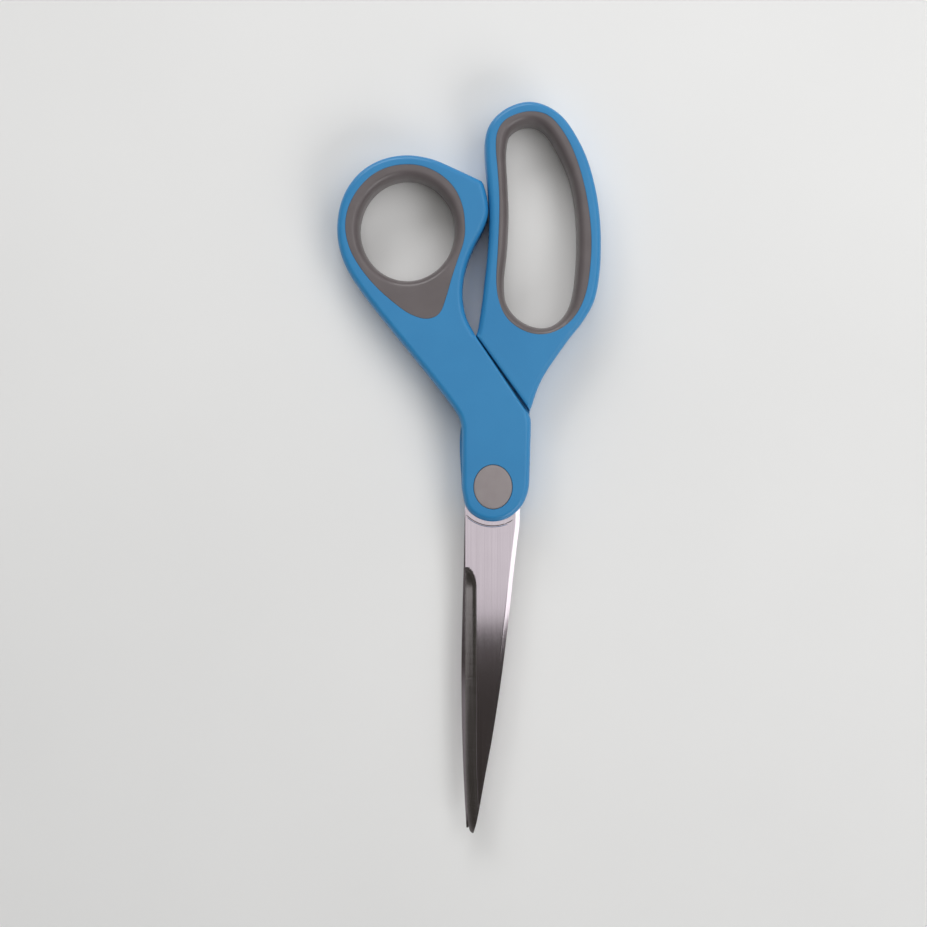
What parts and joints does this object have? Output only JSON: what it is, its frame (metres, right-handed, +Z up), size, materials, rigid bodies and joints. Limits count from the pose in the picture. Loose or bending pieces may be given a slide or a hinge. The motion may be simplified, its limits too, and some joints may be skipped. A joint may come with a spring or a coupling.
{
  "type": "office scissors",
  "caption": "Pair of office scissors with pointed steel blades, offset plastic handles, soft grip inserts in both loops and a capped pivot screw.",
  "frame": {"origin": "on the pivot's axis, in the plane that the scissors rest on when they lie flat with the thumb half on top", "axes": "+Z up along the pivot's axis, +Y from the pivot towards the loops with the closed blades along -Y, +X towards the finger loop's side"},
  "size_m": [0.073, 0.2032, 0.011],
  "materials": {
    "blade_steel": "stainless, ground lengthwise",
    "fastener_steel": "turned, bright",
    "handle_plastic": "satin moulded, sky blue",
    "grip_rubber": "soft moulded, warm grey",
    "cap_plastic": "satin moulded, light warm grey"
  },
  "bodies": {
    "finger_half": {"finger_blade": "blade_steel", "finger_handle": "handle_plastic", "finger_grip": "grip_rubber", "pivot_screw": "fastener_steel", "pivot_nut": "fastener_steel", "spring_washer": "fastener_steel", "finger_cap": "cap_plastic"},
    "thumb_half": {"thumb_blade": "blade_steel", "thumb_handle": "handle_plastic", "thumb_grip": "grip_rubber", "thumb_cap": "cap_plastic"}
  },
  "joints": [
    {"name": "pivot", "type": "hinge", "parent": "finger_half", "child": "thumb_half", "pos_m": [0, 0, 0.0055], "axis": [0, 0, 1], "range_deg": [0, 130]}
  ]
}
